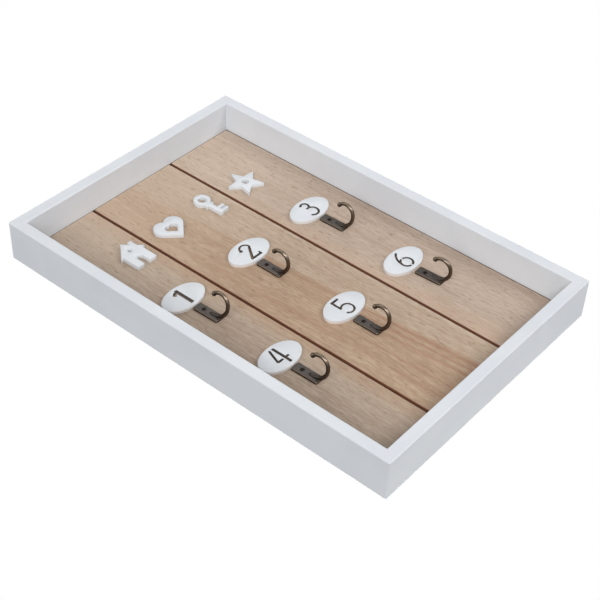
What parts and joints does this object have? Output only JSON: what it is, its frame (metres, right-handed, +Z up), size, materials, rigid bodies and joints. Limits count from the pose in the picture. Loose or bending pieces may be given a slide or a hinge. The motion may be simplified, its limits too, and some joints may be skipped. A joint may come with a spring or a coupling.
{
  "type": "wall key holder",
  "caption": "Shallow portrait box frame with a planked back, white cut-out ornaments, oval number tags and small curved bronze hooks for keys.",
  "frame": {"origin": "the hanging point: the middle notch of the hanger, on the wall plane", "axes": "+Z up as hung, +Y into the wall, +X to the right seen from the front"},
  "size_m": [0.2, 0.0285, 0.3],
  "materials": {
    "white_paint": "satin white paint on MDF",
    "white_cutout": "satin white paint on plywood",
    "paulownia": "sanded bare paulownia with brown stained edges",
    "hardboard": "raw brown hardboard",
    "antique_bronze": "antique bronze plating with rubbed edges",
    "steel": "bright zinc plating"
  },
  "bodies": {
    "root": {"rail_top": "white_paint", "rail_bottom": "white_paint", "rail_left": "white_paint", "rail_right": "white_paint", "back_board": "hardboard", "plank_left": "paulownia", "plank_middle": "paulownia", "plank_right": "paulownia", "ornament_house": "white_cutout", "ornament_heart": "white_cutout", "ornament_key": "white_cutout", "ornament_star": "white_cutout", "tag_1": "white_cutout", "tag_2": "white_cutout", "tag_3": "white_cutout", "tag_4": "white_cutout", "tag_5": "white_cutout", "tag_6": "white_cutout", "hook_1": "antique_bronze", "hook_2": "antique_bronze", "hook_3": "antique_bronze", "hook_4": "antique_bronze", "hook_5": "antique_bronze", "hook_6": "antique_bronze", "hook_screws": "antique_bronze", "corner_pins": "steel", "board_pins": "steel", "hanger": "steel", "hanger_nails": "steel"}
  },
  "joints": []
}
